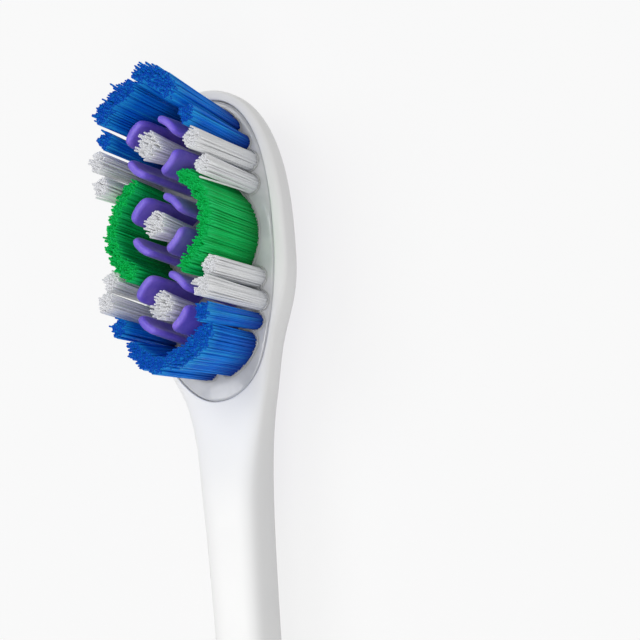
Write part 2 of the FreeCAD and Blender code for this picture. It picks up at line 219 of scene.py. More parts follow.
# Trim of each tuft: free length, lean along the brush, spread of the tips and ragged trim.
# Slant lengthens the filaments nearer the middle of the brush, tilt those nearer the tip,
# and dome shortens those at the tuft's rim.
LEVEL = dict(lean=0.0, slant=0.0, tilt=0.0, dome=0.0)
TRIMS = {
    "toe_tuft_left": dict(length=9.9, lean=3.2, spread=0.1, ragged=0.6),
    "toe_tuft_right": dict(length=10.3, lean=8.3, spread=0.1, ragged=0.6),
    "heel_tuft_left": dict(length=8.0, lean=-6.6, spread=-0.06, ragged=0.4, slant=0.1),
    "heel_tuft_right": dict(length=7.7, lean=-5.0, spread=0.06, ragged=0.4, slant=0.45),
    "arc_tuft_left": dict(length=7.9, spread=0.04, ragged=0.55, tilt=-0.15),
    "arc_tuft_right": dict(length=7.6, spread=0.04, ragged=0.55, tilt=-0.1),
    "toe_corner_tuft_left": dict(length=8.4, lean=3.0, spread=0.12, ragged=0.5),
    "toe_corner_tuft_right": dict(length=9.0, lean=4.5, spread=0.12, ragged=0.5),
    "heel_corner_tuft_left": dict(length=8.3, lean=-2.9, spread=0.12, ragged=0.5),
    "heel_corner_tuft_right": dict(length=8.7, lean=-5.0, spread=0.12, ragged=0.5),
    "toe_outer_tuft_left": dict(length=9.25, lean=0.7, spread=0.1, ragged=0.45),
    "toe_outer_tuft_right": dict(length=9.1, lean=0.8, spread=0.1, ragged=0.45),
    "heel_outer_tuft_left": dict(length=9.25, lean=0.3, spread=0.1, ragged=0.45),
    "heel_outer_tuft_right": dict(length=9.25, lean=-2.5, spread=0.1, ragged=0.45),
    "toe_inner_tuft_left": dict(length=8.9, spread=0.06, ragged=0.4),
    "toe_inner_tuft_right": dict(length=8.1, lean=1.2, spread=0.06, ragged=0.15, dome=0.7),
    "heel_inner_tuft_left": dict(length=8.6, lean=0.3, spread=0.06, ragged=0.15, dome=0.7),
    "heel_inner_tuft_right": dict(length=8.0, lean=-2.5, spread=0.06, ragged=0.15, dome=0.7),
    "toe_centre_tuft": dict(length=8.5, spread=0.6, ragged=0.6),
    "middle_centre_tuft": dict(length=8.2, spread=0.5, ragged=0.6),
    "heel_centre_tuft": dict(length=7.9, lean=-2.0, spread=0.6, ragged=0.6),
}

# Filaments: each ring is a share of the length and a share of the radius
FILAMENT = {"bristle_white": 0.2, "bristle_blue": 0.175, "bristle_green": 0.175}
FILAMENT_RINGS = ((0.0, 1.0), (0.3, 1.0), (0.6, 1.0), (0.83, 1.0), (0.985, 1.0), (0.997, 0.6))
FILAMENT_SIDES = 6
CROWDING = 0.83
GRID_REACH = 1.5
ROOT_INSET = 0.08
ROOT_LOOSE = 0.025
ROOT_SINK = 0.3
TIP_RISE = 0.01
TRIM_BEVEL = 0.3
BEVEL_ALONG, BEVEL_ACROSS = 0.47, 0.88
CLUMP_RAGGED = 0.6
CLUMP_LEAN = 0.012
UNEVEN = 0.17
UNEVEN_SCALE = 0.22
UNEVEN_MOST = 0.6
LOOSE_LEAN = 0.008
STRAY_SHARE = 0.025
STRAY_LEAN = 4.0
SPREAD_POWER = 1.6

# Studio
CAMERA_RIGHT = (-0.0744, -0.8495, -0.5223)
CAMERA_TOWARD = (-0.2578, -0.4895, 0.833)
CAMERA_AWAY = 500.0
CAMERA_SHIFT_RIGHT, CAMERA_SHIFT_UP = 9.81, -6.73
CAMERA_LENS, CAMERA_SENSOR = 326.25, 36.0
CAMERA_NEAR, CAMERA_FAR = 10.0, 20000.0
LAMPS = (("key", (250.0, 300.0, 750.0), 2.9), ("fill", (-270.0, -270.0, 790.0), 3.3))
LAMP_SIZE = 500.0
LAMP_AIM_Z = 10.0
WORLD_STRENGTH = 0.38
FLOOR_HALF = 2000.0
FLOOR_GREY = 0.7
FLOOR_ROUGH = 0.9
FLOOR_SPECULAR = 0.1
FLOOR_GLOW = 0.8
WHITE = (1.0, 1.0, 1.0, 1.0)


# Curves


def ease(s):
    """Smooth step from 0 to 1."""
    s = max(0.0, min(1.0, s))
    return 0.5 - 0.5 * math.cos(math.pi * s)


def oval(s, power):
    """Height at s of a quarter of a superellipse, 1 at s = 0 and 0 at s = 1."""
    s = min(1.0, abs(s))
    return (1.0 - s ** power) ** (1.0 / power)


def signed(value, power):
    return math.copysign(abs(value) ** power, value)


def blend(first, second, share):
    return first * (1 - share) + second * share


def turns(count):
    """Evenly spaced angles of one full turn, in radians."""
    return [2 * math.pi * k / count for k in range(count)]


# Body surfaces


def toe_share(u):
    """0 at the widest place of the head, 1 at its tip."""
    return (u - HEAD_WIDEST) / (HEAD_REACH - HEAD_WIDEST)


def neck_share(u):
    return ease((-u - HEEL + DIP_IN) / DIP_IN)


def grip_share(u):
    return ease((-u - NECK_END) / (GRIP_START - NECK_END))


def tail(u):
    """Share of the section that the round tail leaves."""
    over = (-u - TAIL_START) / TAIL_ROUND
    return oval(over, TAIL_POWER) if over > 0 else 1.0


def half_width(u):
    if u > HEAD_WIDEST:
        return HEAD_HALF * oval(toe_share(u), HEAD_ROUND)
    taper = (HEAD_WIDEST - u) / (HEEL - TAPER_IN + HEAD_WIDEST)
    wide = NECK_HALF + (HEAD_HALF - NECK_HALF) / (1 + taper ** TAPER_POWER)
    wide += (GRIP_HALF - NECK_HALF) * grip_share(u)
    to_end = u + LENGTH - HEAD_REACH
    waist = WAIST * ease((-u - GRIP_START - WAIST_AFTER) / WAIST_IN)
    waist *= ease((to_end - WAIST_BEFORE_END) / WAIST_OUT)
    return (wide - waist) * tail(u)


def heights(u):
    """Widest level, depth below it and height above it."""
    neck, grip = neck_share(u), grip_share(u)
    mid = PLATE_Z - blend(HEAD_MID, NECK_MID, neck)
    low = blend(HEAD_DEPTH - HEAD_MID, NECK_DEPTH - NECK_MID, neck)
    high = RIM_Z - DIP * neck * (1 - ease((-u - HEEL) / DIP_OUT)) - mid
    mid = blend(mid, PLATE_Z - GRIP_MID, grip)
    low = blend(low, GRIP_THICK / 2, grip)
    high = blend(high, GRIP_THICK / 2, grip)
    if u > HEAD_WIDEST:
        low *= oval(toe_share(u), TOE_UNDER)
        high *= oval(toe_share(u), TOE_OVER)
    return mid, low * tail(u), high * tail(u)


def fullness(u):
    """Curve powers of the section above and below its widest level."""
    neck, grip = neck_share(u), grip_share(u)
    above = blend(blend(HEAD_FRONT, NECK_FRONT, neck), GRIP_ROUND, grip)
    below = blend(blend(HEAD_UNDER, NECK_UNDER, neck), GRIP_ROUND, grip)
    return above, below


def front(u, v):
    """Height of the body's upper side."""
    mid, _, high = heights(u)
    return mid + high * oval(v / max(TINY, half_width(u)), fullness(u)[0])


def back(u, v):
    """Height of the body's under side, which rests on the floor."""
    mid, low, _ = heights(u)
    return max(0.0, mid - low * oval(v / max(TINY, half_width(u)), fullness(u)[1]))


def face(u, v):
    """Height of the plate's face."""
    return front(u, v) - RIM_RISE


def plate_half(u, grow):
    """Half-width at u of the plate's outline moved out by grow."""
    along = u - PLATE_SHIFT
    power = PLATE_TOE if along > 0 else PLATE_HEEL
    return (PLATE_HALF_WIDE + grow) * oval(along / (PLATE_HALF_LONG + grow), power)


def slot_half(u, start, end, wide):
    """Half-width at u of a grip let into the handle."""
    middle, reach = -(start + end) / 2, (end - start) / 2
    return wide * oval((u - middle) / reach, SLOT_POWER)


def thumb_half(u):
    return slot_half(u, THUMB_START, THUMB_END, THUMB_HALF)


def back_half(u):
    return slot_half(u, BACK_START, BACK_END, BACK_HALF)


def outward(surface, u, v, way):
    """Unit normal of a body surface, pointing away from the body."""
    h = SLOPE_STEP
    along = (surface(u + h, v) - surface(u - h, v)) / (2 * h)
    across = (surface(u, v + h) - surface(u, v - h)) / (2 * h)
    return Vector((-along, -across, 1.0)).normalized() * way


# Mesh helpers


def place(u, v, z):
    return Vector(((HEAD_X + u) * MM, v * MM, z * MM))


class Form:
    """Vertices and faces of one piece, with a tone and a place along a filament per vertex."""

    def __init__(self):
        self.verts = []
        self.faces = []
        self.marks = []

    def add(self, point, mark=(0.5, 0.0)):
        self.verts.append(point)
        self.marks.append(mark)
        return len(self.verts) - 1

    def ring(self, points, mark=(0.5, 0.0)):
        return [self.add(point, mark) for point in points]

    def strip(self, first, second, closed=True):
        count = len(first)
        for k in range(count if closed else count - 1):
            n = (k + 1) % count
            self.faces.append((first[k], first[n], second[n], second[k]))

    def loft(self, rings, closed=True):
        for first, second in zip(rings, rings[1:]):
            self.strip(first, second, closed)

    def fan(self, ring, tip):
        for k in range(len(ring)):
            self.faces.append((ring[k], ring[(k + 1) % len(ring)], tip))

    def piece(self, name, node, material, weld=0.0, sharp=75.0):
        """Make the mesh object that replaces a node."""
        mesh = bpy.data.meshes.new(name)
        mesh.from_pydata(self.verts, [], self.faces)
        for key, index in (("tone", 0), ("along", 1)):
            layer = mesh.attributes.new(key, "FLOAT", "POINT")
            layer.data.foreach_set("value", [m[index] for m in self.marks])
        work = bmesh.new()
        work.from_mesh(mesh)
        if weld:
            bmesh.ops.remove_doubles(work, verts=work.verts, dist=weld)
            bmesh.ops.dissolve_degenerate(work, edges=work.edges, dist=weld / 4)
        bmesh.ops.recalc_face_normals(work, faces=work.faces)
        work.to_mesh(mesh)
        work.free()
        mesh.shade_smooth()
        mesh.set_sharp_from_angle(angle=math.radians(sharp))
        mesh.materials.append(material)
        made = bpy.data.objects.new(name, mesh)
        scene.collection.objects.link(made)
        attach(made, "root")
        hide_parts(node)


# Materials


class Finish:
    """A Principled material with helpers for its node graph."""

    def __init__(self, name):
        self.material = bpy.data.materials.new(name)
        self.material.use_nodes = True
        self.tree = self.material.node_tree
        self.shader = self.tree.nodes["Principled BSDF"]
        self.where = self.node("ShaderNodeTexCoord").outputs["Object"]

    def node(self, kind, **values):
        made = self.tree.nodes.new(kind)
        for key, value in values.items():
            setattr(made, key, value)
        return made

    def put(self, socket, value):
        if isinstance(value, bpy.types.NodeSocket):
            self.tree.links.new(value, socket)
        else:
            socket.default_value = value

    def set(self, **values):
        for key, value in values.items():
            self.put(self.shader.inputs[key.replace("_", " ")], value)

    def noise(self, scale, detail, stretch=None):
        made = self.node("ShaderNodeTexNoise")
        self.put(made.inputs["Scale"], scale)
        self.put(made.inputs["Detail"], detail)
        self.put(made.inputs["Roughness"], 0.55)
        spot = self.where
        if stretch:
            mapping = self.node("ShaderNodeMapping")
            self.put(mapping.inputs["Vector"], spot)
            self.put(mapping.inputs["Scale"], stretch)
            spot = mapping.outputs["Vector"]
        self.put(made.inputs["Vector"], spot)
        return made.outputs["Fac"]

    def attribute(self, name):
        return self.node("ShaderNodeAttribute", attribute_name=name).outputs["Fac"]

    def remap(self, value, low, high, out_low, out_high):
        made = self.node("ShaderNodeMapRange")
        for socket, v in zip(made.inputs, (value, low, high, out_low, out_high)):
            self.put(socket, v)
        return made.outputs["Result"]

    def mix(self, factor, first, second):
        made = self.node("ShaderNodeMix", data_type="RGBA")
        self.put(made.inputs["Factor"], factor)
        self.put(made.inputs[6], first)
        self.put(made.inputs[7], second)
        return made.outputs[2]

    def math(self, way, first, second):
        made = self.node("ShaderNodeMath", operation=way)
        self.put(made.inputs[0], first)
        self.put(made.inputs[1], second)
        return made.outputs["Value"]

    def bump(self, height, strength, distance):
        made = self.node("ShaderNodeBump")
        self.put(made.inputs["Height"], height)
        self.put(made.inputs["Strength"], strength)
        self.put(made.inputs["Distance"], distance)
        self.set(Normal=made.outputs["Normal"])


def rgb(red, green, blue):
    """Colour from 0 to 255 values as a display shows them."""
    def linear(c):
        c = c / 255.0
        return c / 12.92 if c <= 0.04045 else ((c + 0.055) / 1.055) ** 2.4
    return (linear(red), linear(green), linear(blue), 1.0)


def plastic():
    """White satin plastic with a faint flow and moulding texture."""
    f = Finish("white_body")
    cloud = f.noise(scale=90.0, detail=2.0)
    fine = f.noise(scale=500.0, detail=2.0)
    f.set(Base_Color=f.mix(f.remap(cloud, 0.3, 0.7, 0.0, 1.0), rgb(237, 237, 237), rgb(242, 242, 241)))
    f.set(Roughness=f.remap(fine, 0.3, 0.7, 0.4, 0.46))
    f.set(Specular_IOR_Level=0.4)
    f.bump(fine, strength=0.01, distance=0.00005)
    return f.material


def milky():
    """Milky translucent plate."""
    f = Finish("plate_milky")
    cloud = f.noise(scale=400.0, detail=3.0)
    fine = f.noise(scale=3000.0, detail=2.0)
    f.set(Base_Color=f.mix(f.remap(cloud, 0.3, 0.7, 0.0, 1.0), rgb(192, 194, 198), rgb(212, 213, 216)))
    f.set(Roughness=f.remap(fine, 0.3, 0.7, 0.12, 0.22))
    f.set(Subsurface_Weight=0.5, Subsurface_Radius=(1.0, 1.0, 1.2), Subsurface_Scale=0.0012)
    f.set(Coat_Weight=0.4, Coat_Roughness=0.06)
    f.bump(cloud, strength=0.15, distance=0.00006)
    return f.material


def rubber(name, dark, light, grain):
    """Soft rubber: mottled colour, satin surface with a fine grain."""
    f = Finish(name)
    cloud = f.noise(scale=700.0, detail=4.0)
    fine = f.noise(scale=grain, detail=3.0)
    f.set(Base_Color=f.mix(f.remap(cloud, 0.35, 0.65, 0.0, 1.0), dark, light))
    f.set(Roughness=f.remap(fine, 0.3, 0.7, 0.4, 0.55))
    f.set(Subsurface_Weight=0.5, Subsurface_Radius=(1.0, 0.8, 1.2), Subsurface_Scale=0.0005)
    f.set(Sheen_Weight=0.15, Sheen_Roughness=0.4)
    f.bump(fine, strength=0.25, distance=0.00004)
    return f.material


def bristle(name, gleam, root, deep, plain, pale, end):
    """Nylon filaments, each in its own tone, with painted shade deepening toward the root, painted light on
    the sides near the tip and painted shade darkening the cut end.
    """
    f = Finish(name)
    tone = f.attribute("tone")
    along = f.attribute("along")
    streak = f.noise(scale=900.0, detail=2.0, stretch=(1.0, 1.0, 0.15))
    shade = f.math("ADD", f.math("MULTIPLY", tone, 0.6), f.math("MULTIPLY", streak, 0.4))
    body = f.mix(f.remap(shade, 0.25, 0.6, 0.0, 1.0), deep, plain)
    body = f.mix(f.remap(tone, 0.85, 1.0, 0.0, 0.6), body, pale)
    # Painted light: the sides just below the tip turn toward pale, lifting the shade in the gaps between
    # the filament ends.
    body = f.mix(f.remap(along, 0.8, 0.95, 0.0, 0.5), body, pale)
    # Painted shade: the cut end, which faces the lamps, turns toward the darker end colour so that it
    # shades like the sides.
    tips = f.mix(f.remap(along, 0.983, 0.99, 0.0, 0.9), body, end)
    # Painted shade: the colour deepens toward the root colour over the lower half, where the tufts shade
    # their own bases.
    f.set(Base_Color=f.mix(f.remap(along, 0.0, 0.5, 1.0, 0.0), tips, root))
    f.set(Roughness=f.remap(streak, 0.3, 0.7, 0.5, 0.62))
    f.set(Specular_IOR_Level=gleam)
    f.bump(f.noise(scale=5000.0, detail=2.0), strength=0.08, distance=0.00002)
    return f.material


WHITE_BODY = plastic()
MILKY = milky()
SOFT = rubber("soft_purple", dark=rgb(150, 98, 219), light=rgb(168, 120, 228), grain=2500.0)
VIOLET = rubber("cup_violet", dark=rgb(107, 86, 204), light=rgb(132, 108, 217), grain=3500.0)
# root and end are painted shade colours for the base and the cut end of each filament; pale also gives the
# painted light near the tips.
FIBRE = {
    "bristle_blue": bristle(
        "bristle_blue", gleam=0.15, root=rgb(1, 42, 146), deep=rgb(6, 106, 220),
        plain=rgb(12, 134, 236), pale=rgb(46, 176, 236), end=rgb(3, 72, 188)),
    "bristle_green": bristle(
        "bristle_green", gleam=0.15, root=rgb(0, 128, 50), deep=rgb(0, 184, 84),
        plain=rgb(6, 208, 104), pale=rgb(38, 222, 124), end=rgb(4, 188, 90)),
    "bristle_white": bristle(
        "bristle_white", gleam=0.2, root=rgb(226, 228, 232), deep=rgb(236, 237, 240),
        plain=rgb(245, 246, 247), pale=rgb(250, 250, 251), end=rgb(222, 223, 227)),
}


# White body


def body_rows():
    """Places along the brush that get a section, from the tip to the tail."""
    quarter = math.pi / 2
    reach = HEAD_REACH - HEAD_WIDEST
    rows = [HEAD_WIDEST + reach * math.sin(quarter * k / TOE_ROWS) for k in range(TOE_ROWS + 1)]
    toe, heel = PLATE_SHIFT + PLATE_HALF_LONG, PLATE_SHIFT - PLATE_HALF_LONG
    rows += [toe + d for d in GROWTHS] + [heel - d for d in GROWTHS]
    for k in range(PLATE_ROWS + 1):
        along = PLATE_HALF_LONG * math.cos(quarter * k / PLATE_ROWS)
        rows += [PLATE_SHIFT + along, PLATE_SHIFT - along]
    for start, step, count in BODY_STRETCHES:
        rows += [-start - step * k for k in range(count)]
    rows += [-TAIL_START - TAIL_ROUND * math.sin(quarter * k / TAIL_ROWS) for k in range(TAIL_ROWS + 1)]
    kept = []
    for u in sorted(rows, reverse=True):
        if not kept or kept[-1] - u > ROW_GAP:
            kept.append(u)
    return kept


def rim_drop(d):
    """How far the rounded rim lies below the front at distance d from the well."""
    inner = max(0.0, RIM_FILLET - d)
    return RIM_FILLET - math.sqrt(RIM_FILLET ** 2 - inner ** 2)


def back_bed(u, v, z):
    """The under side, hollowed where the back grip is let in."""
    return z + BED_DEPTH * ease((back_half(u) - abs(v)) / BED_EDGE)


def body_section(u):
    """Points of the body at u: under side, then one rim down into the well and the other back out."""
    w = half_width(u)
    mid, low, high = heights(u)
    above, below = fullness(u)
    past = abs(u - PLATE_SHIFT) - PLATE_HALF_LONG
    ring = []
    for k in range(UNDER_STEPS):
        t = math.pi * k / UNDER_STEPS
        v = -w * signed(math.cos(t), 2.0 / below)
        ring.append((v, back_bed(u, v, max(0.0, mid - low * math.sin(t) ** (2.0 / below)))))
    inner = min(plate_half(u, GROWTHS[0]), w * RIM_SHARE)
    last = math.acos(min(1.0, (inner / w) ** (above / 2.0))) if w > TINY else math.pi / 2
    side = []
    for k in range(RIM_STEPS):
        t = last * k / RIM_STEPS
        side.append((w * math.cos(t) ** (2.0 / above), mid + high * math.sin(t) ** (2.0 / above)))
    for d in GROWTHS:
        v = min(plate_half(u, d), w * RIM_SHARE)
        side.append((v, front(u, v) - rim_drop(max(d, past))))
    v = plate_half(u, 0.0)
    deep = front(u, v) - rim_drop(max(0.0, past)) - (WELL_DEPTH if past < 0 else 0.0)
    side.append((v, deep))
    ring += side
    ring += [(-v, z) for v, z in reversed(side)]
    return [place(u, v, z) for v, z in ring]


def build_body():
    form = Form()
    form.loft([form.ring(body_section(u)) for u in body_rows()])
    form.piece("body", "handle_body", WHITE_BODY, weld=WELD, sharp=50.0)


# Tuft plate


def plate_point(angle, inset, scale):
    """Point of the plate's outline, moved in by inset and then scaled about the plate's middle."""
    c, s = math.cos(angle), math.sin(angle)
    power = 2.0 / (PLATE_TOE if c > 0 else PLATE_HEEL)
    u = PLATE_SHIFT + signed(c, power) * (PLATE_HALF_LONG - inset) * scale
    v = signed(s, power) * (PLATE_HALF_WIDE - inset) * scale
    return u, v


def bead(form, tuft):
    """Thin raised lip of the plate around a tuft hole."""
    form.loft([form.ring(place(u, v, face(u, v) + rise - BEAD_SINK) for u, v in tuft["edge"](grow))
               for grow, rise in BEAD_PROFILE])


def build_plate():
    form = Form()
    angles = turns(PLATE_STEPS)
    rings = []
    for k in range(BEVEL_STEPS + 1):
        t = math.pi / 2 * k / BEVEL_STEPS
        inset = SEAM + PLATE_BEVEL * (1 - math.cos(t))
        drop = PLATE_BEVEL * (1 - math.sin(t))
        spots = [plate_point(a, inset, 1.0) for a in angles]
        if k == 0:
            rings.append(form.ring(place(u, v, face(u, v) - WELL_DEPTH + SKIRT_GAP) for u, v in spots))
        rings.append(form.ring(place(u, v, face(u, v) - drop) for u, v in spots))
    for k in range(1, FACE_RINGS):
        spots = [plate_point(a, SEAM + PLATE_BEVEL, 1 - k / FACE_RINGS) for a in angles]
        rings.append(form.ring(place(u, v, face(u, v)) for u, v in spots))
    form.loft(rings)
    form.fan(rings[-1], form.add(place(PLATE_SHIFT, 0.0, face(PLATE_SHIFT, 0.0))))
    for tuft in TUFTS:
        bead(form, tuft)
    form.piece("plate", "tuft_plate", MILKY, sharp=60.0)


# Tufts


def round_tuft(u, v, diameter):
    """A round tuft about (u, v)."""
    radius = diameter / 2

    def inside(a, b):
        return math.hypot(a - u, b - v) < radius - ROOT_INSET

    def edge(grow):
        reach = radius + grow
        return [(u + reach * math.cos(t), v + reach * math.sin(t)) for t in turns(ROUND_STEPS)]

    def offset(a, b):
        return a - u, b - v

    return {"centre": (u, v), "box": (u, v, radius), "inside": inside, "edge": edge, "offset": offset}


def arc_tuft(u, radius, thick, first, last):
    """A curved tuft about (u, 0) between two angles, with round ends."""
    half = thick / 2
    middle, reach = (first + last) / 2, (last - first) / 2

    def away(a, b):
        turn = math.degrees(math.atan2(b, a - u))
        turn = (turn - middle + 180) % 360 - 180
        if abs(turn) <= reach:
            return abs(math.hypot(a - u, b) - radius)
        end = math.radians(middle + math.copysign(reach, turn))
        return math.hypot(a - u - radius * math.cos(end), b - radius * math.sin(end))

    def inside(a, b):
        return away(a, b) < half - ROOT_INSET

    def cap(end, turn, grow):
        t = math.radians(end)
        spots = []
        for k in range(1, ARC_END_STEPS):
            b = t + turn + math.pi * k / ARC_END_STEPS
            spots.append((u + radius * math.cos(t) + (half + grow) * math.cos(b),
                          radius * math.sin(t) + (half + grow) * math.sin(b)))
        return spots

    def edge(grow):
        sweep = [math.radians(first + (last - first) * k / ARC_STEPS) for k in range(ARC_STEPS + 1)]
        outer, inner = radius + half + grow, radius - half - grow
        spots = [(u + outer * math.cos(t), outer * math.sin(t)) for t in sweep]
        spots += cap(last, 0.0, grow)
        spots += [(u + inner * math.cos(t), inner * math.sin(t)) for t in reversed(sweep)]
        return spots + cap(first, math.pi, grow)

    def offset(a, b):
        far = math.hypot(a - u, b)
        return (a - u) * (1 - radius / far), b * (1 - radius / far)

    turn = math.radians(middle)
    centre = (u + radius * math.cos(turn), radius * math.sin(turn))
    box = (u, 0.0, radius + half)
    return {"centre": centre, "box": box, "inside": inside, "edge": edge, "offset": offset}


def tuft_list():
    """Every tuft: its outline with its node, finish and trim."""
    made = []

    def put(shape, node, slot):
        shape.update(LEVEL)
        shape.update(TRIMS[node])
        shape.update(node=node, slot=slot)
        made.append(shape)

    def crescent(u, first, last):
        return arc_tuft(u, CRESCENT_RADIUS, CRESCENT_THICK, min(first, last), max(first, last))

    for side, sign in (("left", 1), ("right", -1)):
        near, far = CRESCENT_START * sign, CRESCENT_END * sign
        put(crescent(CRESCENT_AT, near, far), "toe_tuft_" + side, "bristle_blue")
        put(crescent(-CRESCENT_AT, 180 - near, 180 - far), "heel_tuft_" + side, "bristle_blue")
        put(arc_tuft(0.0, ARC_RADIUS, ARC_THICK, 90 * sign - ARC_SWEEP, 90 * sign + ARC_SWEEP),
            "arc_tuft_" + side, "bristle_green")
    for end, way in (("toe", 1), ("heel", -1)):
        for side, sign in (("left", 1), ("right", -1)):
            for kind, (along, across), wide, slot in (
                    ("corner", CORNER_AT, CORNER_WIDE, "bristle_blue"),
                    ("outer", OUTER_AT, OUTER_WIDE, "bristle_white"),
                    ("inner", INNER_AT, INNER_WIDE, "bristle_white")):
                put(round_tuft(way * along, sign * across, wide), f"{end}_{kind}_tuft_{side}", slot)
    for name, u in (("toe", CUP_PITCH), ("middle", 0.0), ("heel", -CUP_PITCH)):
        put(round_tuft(u, 0.0, CENTRE_WIDE), name + "_centre_tuft", "bristle_white")
    return made


TUFTS = tuft_list()


def roots(tuft, pitch):
    """Filament places on a turned hexagonal grid inside the tuft's outline."""
    mid_u, mid_v, reach = tuft["box"]
    turn = rng.uniform(0.0, math.pi / 3)
    c, s = math.cos(turn), math.sin(turn)
    row = pitch * math.sqrt(3) / 2
    count = int(GRID_REACH * reach / row) + 1
    found = []
    for i in range(-count, count + 1):
        for j in range(-count, count + 1):
            a, b = (j + 0.5 * (i % 2)) * pitch, i * row
            u = mid_u + a * c - b * s
            v = mid_v + a * s + b * c
            if tuft["inside"](u, v):
                off_u = rng.uniform(-ROOT_LOOSE, ROOT_LOOSE)
                off_v = rng.uniform(-ROOT_LOOSE, ROOT_LOOSE)
                found.append((u + off_u, v + off_v))
    return found


def clump(u, v):
    """Two crossing waves over the head, so that neighbouring filaments stay together."""
    return math.sin(5.1 * u + 2.3 * v) * math.sin(4.3 * v - 1.7 * u + 0.8)


def filament(form, tuft, u, v, radius):
    """One filament from its root at (u, v) to its rounded end."""
    cu, cv = tuft["centre"]
    du, dv = u - cu, v - cv
    inner = (abs(cv) - abs(v)) if cv else 0.0
    off_u, off_v = tuft["offset"](u, v)
    length = tuft["length"] + tuft["slant"] * inner + tuft["tilt"] * du
    length -= TRIM_BEVEL * (BEVEL_ALONG * off_u + BEVEL_ACROSS * off_v)
    length -= tuft["dome"] * (off_u ** 2 + off_v ** 2)
    uneven = rng.gauss(0.0, UNEVEN)
    uneven = max(-UNEVEN_MOST, min(UNEVEN_MOST, uneven * abs(uneven) / UNEVEN_SCALE))
    length += tuft["ragged"] * (CLUMP_RAGGED * clump(u, v) + uneven)
    stray = STRAY_LEAN if rng.random() < STRAY_SHARE else 1.0
    lean_u = math.tan(math.radians(tuft["lean"]))
    lean_u += CLUMP_LEAN * clump(v, u) + stray * rng.gauss(0.0, LOOSE_LEAN)
    lean_v = CLUMP_LEAN * clump(u + 1.0, v) + stray * rng.gauss(0.0, LOOSE_LEAN)
    tone = rng.random()
    base = face(u, v) - ROOT_SINK
    rise = ROOT_SINK + length
    angles = turns(FILAMENT_SIDES)
    rings = []
    for t, swell in FILAMENT_RINGS:
        open_up = tuft["spread"] * t ** SPREAD_POWER
        mid_u = u + du * open_up + lean_u * length * t
        mid_v = v + dv * open_up + lean_v * length * t
        r, z = radius * swell, base + rise * t
        spots = [place(mid_u + r * math.cos(a), mid_v + r * math.sin(a), z) for a in angles]
        rings.append(form.ring(spots, (tone, t)))
    form.loft(rings)
    form.fan(rings[-1], form.add(place(mid_u, mid_v, base + rise + TIP_RISE), (tone, 1.0)))
    form.faces.append(tuple(reversed(rings[0])))


def build_tufts():
    for tuft in TUFTS:
        form = Form()
        node, slot = tuft["node"], tuft["slot"]
        for u, v in roots(tuft, FILAMENT[slot] * CROWDING):
            filament(form, tuft, u, v, FILAMENT[slot] / 2)
        form.piece(node + "_filaments", node, FIBRE[slot], sharp=70.0)


# Polishing cups


def fin(form, u, middle):
    """One curved flap of a cup, rounded at its lip and corners."""
    levels = list(CUP_LEVELS)
    for k in range(CUP_CORNER_STEPS):
        levels.append(CUP_HEIGHT - CUP_CORNER * (1 - math.sin(math.pi / 2 * k / CUP_CORNER_STEPS)))
    rings = []
    for z in levels:
        over = max(0.0, (z - CUP_HEIGHT + CUP_CORNER) / CUP_CORNER)
        end = max(0.0, (z - CUP_HEIGHT + CUP_LIP) / CUP_LIP)
        reach = CUP_FIN * blend(CUP_CORNER_REACH, 1.0, oval(over, CUP_CORNER_POWER))
        wall = CUP_WALL * blend(CUP_LIP_WALL, 1.0, oval(end, 2.0))
        wall *= 1.0 + CUP_TAPER * (1.0 - z / CUP_HEIGHT)
        ring = []
        for t in turns(CUP_SIDES):
            turn = math.radians(middle + reach * signed(math.cos(t), CUP_END_ROUND))
            r = CUP_RADIUS + wall / 2 * signed(math.sin(t), CUP_FACE_ROUND)
            ring.append(place(u + r * math.cos(turn), r * math.sin(turn), PLATE_Z - CUP_SINK + z))
        rings.append(form.ring(ring))
    form.loft(rings)
    top = [form.verts[index] for index in rings[-1]]
    form.fan(rings[-1], form.add(sum(top, Vector()) / len(top)))


def build_cups():
    for name, u in (("toe_cup", CUP_PITCH), ("middle_cup", 0.0), ("heel_cup", -CUP_PITCH)):
        form = Form()
        for turn in CUP_TURNS:
            fin(form, u, turn)
        form.piece(name + "_fins", name, VIOLET)


# Soft pads


def pad(form, surface, way, half, high, low, step, relief):
    """A soft pad laid on a body surface, with a rounded edge and raised relief(u, v)."""
    count = int((high - low) / step)
    rows = [high + (low - high) * blend(k / count, ease(k / count), PAD_CROWDING) for k in range(count + 1)]
    bound = kdtree.KDTree(2 * PAD_BOUND)
    for k in range(PAD_BOUND):
        u = high + (low - high) * ease(k / (PAD_BOUND - 1))
        for index, sign in enumerate((1, -1)):
            bound.insert(Vector((u, half(u) * sign, 0.0)), 2 * k + index)
    bound.balance()
    tops, feet = [], []
    for u in rows:
        top, foot = [], []
        for j in range(PAD_COLUMNS):
            v = half(u) * math.sin(math.pi / 2 * (2.0 * j / (PAD_COLUMNS - 1) - 1.0))
            near = bound.find(Vector((u, v, 0.0)))[2] / PAD_EDGE
            over = PAD_PROUD * oval(max(0.0, 1.0 - near), 2.0) - PAD_SINK + relief(u, v) * min(1.0, near)
            normal = outward(surface, u, v, way)
            spot = Vector((u, v, surface(u, v)))
            up_spot, low_spot = spot + normal * over, spot - normal * PAD_FOOT
            up_spot.z = max(0.0, up_spot.z)
            top.append(place(*up_spot))
            foot.append(place(*low_spot))
        tops.append(form.ring(top))
        feet.append(form.ring(foot))
    form.loft(tops, closed=False)
    form.loft(feet[::-1], closed=False)
    form.strip(border(tops), border(feet))


def border(rows):
    """Indices around the edge of a grid of rows."""
    return ([row[0] for row in rows] + rows[-1][1:-1]
            + [row[-1] for row in reversed(rows)] + rows[0][-2:0:-1])


